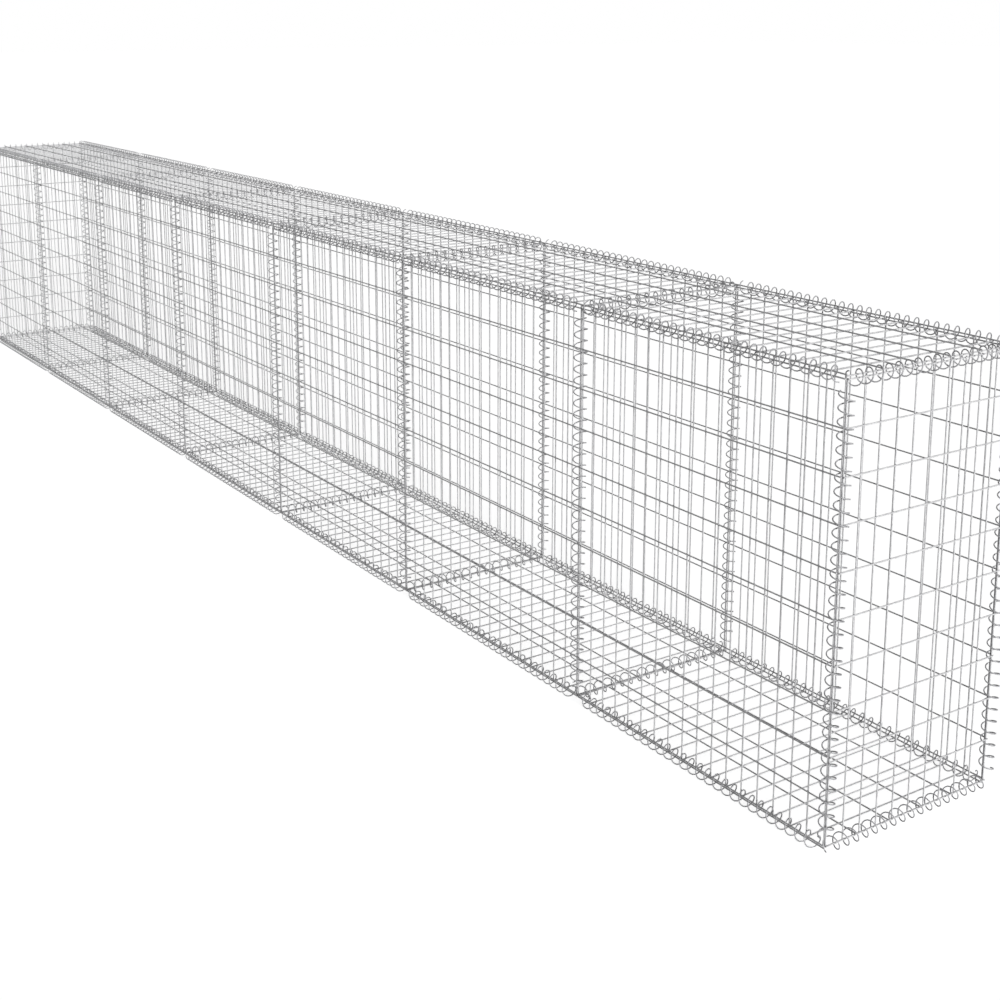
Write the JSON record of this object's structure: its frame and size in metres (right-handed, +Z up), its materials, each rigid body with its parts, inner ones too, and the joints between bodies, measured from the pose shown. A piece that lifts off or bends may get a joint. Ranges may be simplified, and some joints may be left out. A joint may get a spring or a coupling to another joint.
{
  "type": "gabion wall",
  "caption": "Row of empty welded-mesh gabion baskets with covers, laced shut along every edge and seam with spiral binders.",
  "frame": {"origin": "on the ground, under the middle of the row", "axes": "+X along the wall, -Y out of the front face, +Z up"},
  "size_m": [6.0412, 0.5432, 1.045],
  "materials": {
    "mesh_wire": "galvanised, satin",
    "binder_wire": "galvanised, satin"
  },
  "bodies": {
    "root": {"front_panel_1": "mesh_wire", "front_panel_2": "mesh_wire", "front_panel_3": "mesh_wire", "front_panel_4": "mesh_wire", "front_panel_5": "mesh_wire", "front_panel_6": "mesh_wire", "front_panel_7": "mesh_wire", "back_panel_1": "mesh_wire", "back_panel_2": "mesh_wire", "back_panel_3": "mesh_wire", "back_panel_4": "mesh_wire", "back_panel_5": "mesh_wire", "back_panel_6": "mesh_wire", "back_panel_7": "mesh_wire", "base_panel_1": "mesh_wire", "base_panel_2": "mesh_wire", "base_panel_3": "mesh_wire", "base_panel_4": "mesh_wire", "base_panel_5": "mesh_wire", "base_panel_6": "mesh_wire", "base_panel_7": "mesh_wire", "cover_panel_1": "mesh_wire", "cover_panel_2": "mesh_wire", "cover_panel_3": "mesh_wire", "cover_panel_4": "mesh_wire", "cover_panel_5": "mesh_wire", "cover_panel_6": "mesh_wire", "cover_panel_7": "mesh_wire", "end_panel_left": "mesh_wire", "end_panel_right": "mesh_wire", "front_top_spirals": "binder_wire", "front_base_spirals": "binder_wire", "back_top_spirals": "binder_wire", "back_base_spirals": "binder_wire", "front_upright_spirals": "binder_wire", "back_upright_spirals": "binder_wire", "cover_cross_spirals": "binder_wire", "base_cross_spirals": "binder_wire"}
  },
  "joints": []
}
